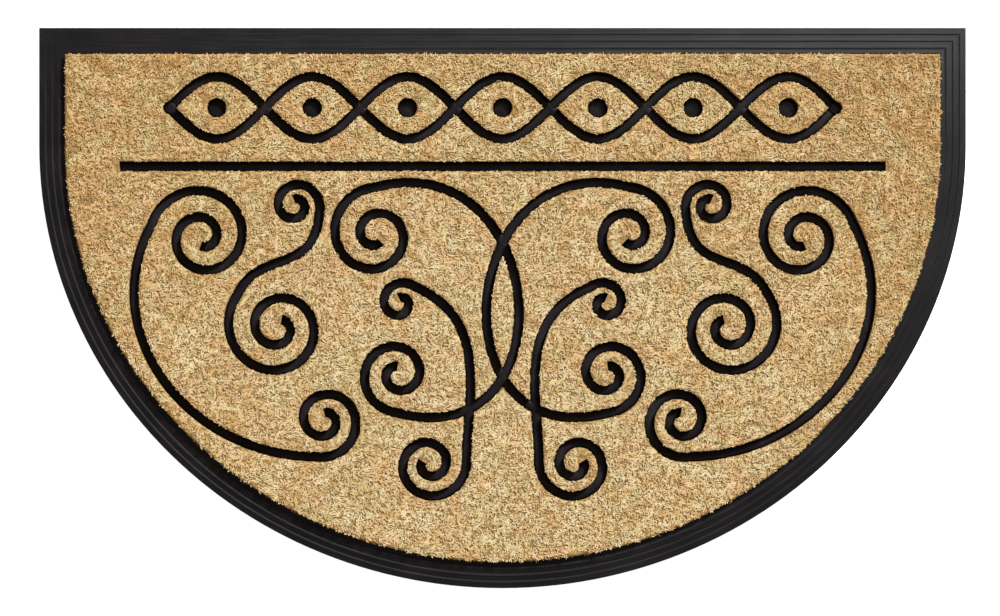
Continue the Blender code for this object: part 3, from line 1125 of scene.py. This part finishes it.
def buildWalls():
    x, y = scatter(pileWalls["spacing"], pileWalls["band"])
    count = len(x)
    turns = chance.random(count) * 2 * math.pi
    amounts = between(pileWalls["lean"], chance.random(count))
    tipX, tipY = keepInside(x, y, np.cos(turns) * amounts, np.sin(turns) * amounts)
    low = between(pileWalls["foot"], chance.random(count))
    high = pileWalls["top"] - pile["edgeDrop"] * chance.random(count)
    high -= (insideEdge(x, y) < pileWalls["outerBand"]) * pileWalls["outerDrop"]
    widths = between(pile["width"], chance.random(count))
    tints = tintsFor(x, y, chance.random(count))
    addLocks("coirWalls", x, y, tipX, tipY, low, high, widths, tints, 1, False)


# each strand runs from its root over one bend to a blunt end
def buildStrands():
    drawn = strands["count"] * 2
    x = (chance.random(drawn) - 0.5) * 2 * mat["halfWidth"]
    y = mat["front"] + chance.random(drawn) * (mat["back"] - mat["front"])
    inside = (readField(x, y) > strands["fromChannel"]) & (insideEdge(x, y) > strands["fromEdge"])
    x, y = x[inside][:strands["count"]], y[inside][:strands["count"]]
    count = len(x)
    leanX, leanY = leanings(x, y, between(strands["length"], chance.random(count)))
    tipX, tipY = keepInside(x, y, leanX, leanY)
    bow = (chance.random(count) - 0.5) * strands["bow"]
    low = strands["height"][0]
    first = np.stack([x, y, np.full(count, low - strands["rootDepth"])], axis=1)
    last = np.stack([tipX, tipY, between(strands["height"], chance.random(count))], axis=1)
    run = last - first
    sideways = np.stack([-run[:, 1], run[:, 0], np.zeros(count)], axis=1) * bow[:, None]
    middle = first + run * 0.5 + sideways
    middle[:, 2] = between(strands["height"], 0.3 + 0.7 * chance.random(count))
    widths = strands["width"] * (0.7 + 0.8 * chance.random(count))
    turns = chance.random(count) * 2 * math.pi
    bend = ringAround(middle, run, widths, turns)
    end = ringAround(last, last - middle, widths * 0.8, turns)
    points = np.stack([first, *bend, *end], axis=1)
    faces = [(0, 2, 1), (0, 3, 2), (0, 1, 3)]
    for here, there in ((1, 2), (2, 3), (3, 1)):
        faces.append((here, there, there + 3))
        faces.append((here, there + 3, here + 3))
    faces.append((4, 5, 6))
    tints = tintsFor(x, y, chance.random(count))
    meshFromArrays("coirStrands", points, faces, (0.35, 0.7, 0.7, 0.6, 0.99, 0.99, 0.9),
                   (0.0, -0.004, 0.004, 0.0, -0.004, 0.004, 0.0), tints)
    print("strands:", count)


buildTop()
buildWalls()
buildStrands()


# pale floor, soft light from everywhere, and a key light from the upper right
studio = {
    "floorSize": 30.0,
    "floorColor": (0.93, 0.93, 0.93),
    "floorGlow": 0.85,
    "worldColor": (1.0, 0.89, 0.72),
    "worldStrength": 0.42,
    "keyEnergy": 6.55,
    "keyAngle": 8.0,
    "keyTilt": 54.0,
    "keyTurn": 55.0,
    "sheens": [  # soft lights that only show as a sheen on the rubber: name, place, power
        ("backSheen", (0.62, 0.86, 1.05), 24.0),
    ],
    "sheenSize": 0.5,
    "cameraHeight": 2.286,
    "cameraX": -0.0021,
    "lens": 100.0,
}


def buildStudio():
    clearSelection()
    bpy.ops.mesh.primitive_plane_add(size=studio["floorSize"], location=(0, 0, 0))
    floor = bpy.context.object
    floor.name = "paleFloor"
    material, _, _, shader = newMaterial("paleFloor", 0.9)
    shader.inputs["Base Color"].default_value = (*studio["floorColor"], 1.0)
    shader.inputs["Emission Color"].default_value = (*studio["floorColor"], 1.0)
    shader.inputs["Emission Strength"].default_value = studio["floorGlow"]
    floor.data.materials.append(material)

    world = bpy.data.worlds.new("softLight")
    world.use_nodes = True
    background = world.node_tree.nodes["Background"]
    background.inputs["Color"].default_value = (*studio["worldColor"], 1.0)
    background.inputs["Strength"].default_value = studio["worldStrength"]
    scene.world = world

    key = bpy.data.lights.new("keyLight", "SUN")
    key.energy = studio["keyEnergy"]
    key.angle = math.radians(studio["keyAngle"])
    lamp = bpy.data.objects.new("keyLight", key)
    scene.collection.objects.link(lamp)
    lamp.rotation_euler = (0, math.radians(studio["keyTilt"]), math.radians(studio["keyTurn"]))

    for name, place, power in studio["sheens"]:
        glow = bpy.data.lights.new(name, "AREA")
        glow.energy = power
        glow.size = studio["sheenSize"]
        panel = bpy.data.objects.new(name, glow)
        scene.collection.objects.link(panel)
        panel.location = place
        panel.rotation_euler = Vector(place).to_track_quat("Z", "Y").to_euler()
        panel.visible_diffuse = False

    view = bpy.data.cameras.new("fromAbove")
    view.lens = studio["lens"]
    view.sensor_width = 36.0
    camera = bpy.data.objects.new("fromAbove", view)
    scene.collection.objects.link(camera)
    camera.location = (studio["cameraX"], 0.0, studio["cameraHeight"])
    scene.camera = camera


buildStudio()
print("studio set")
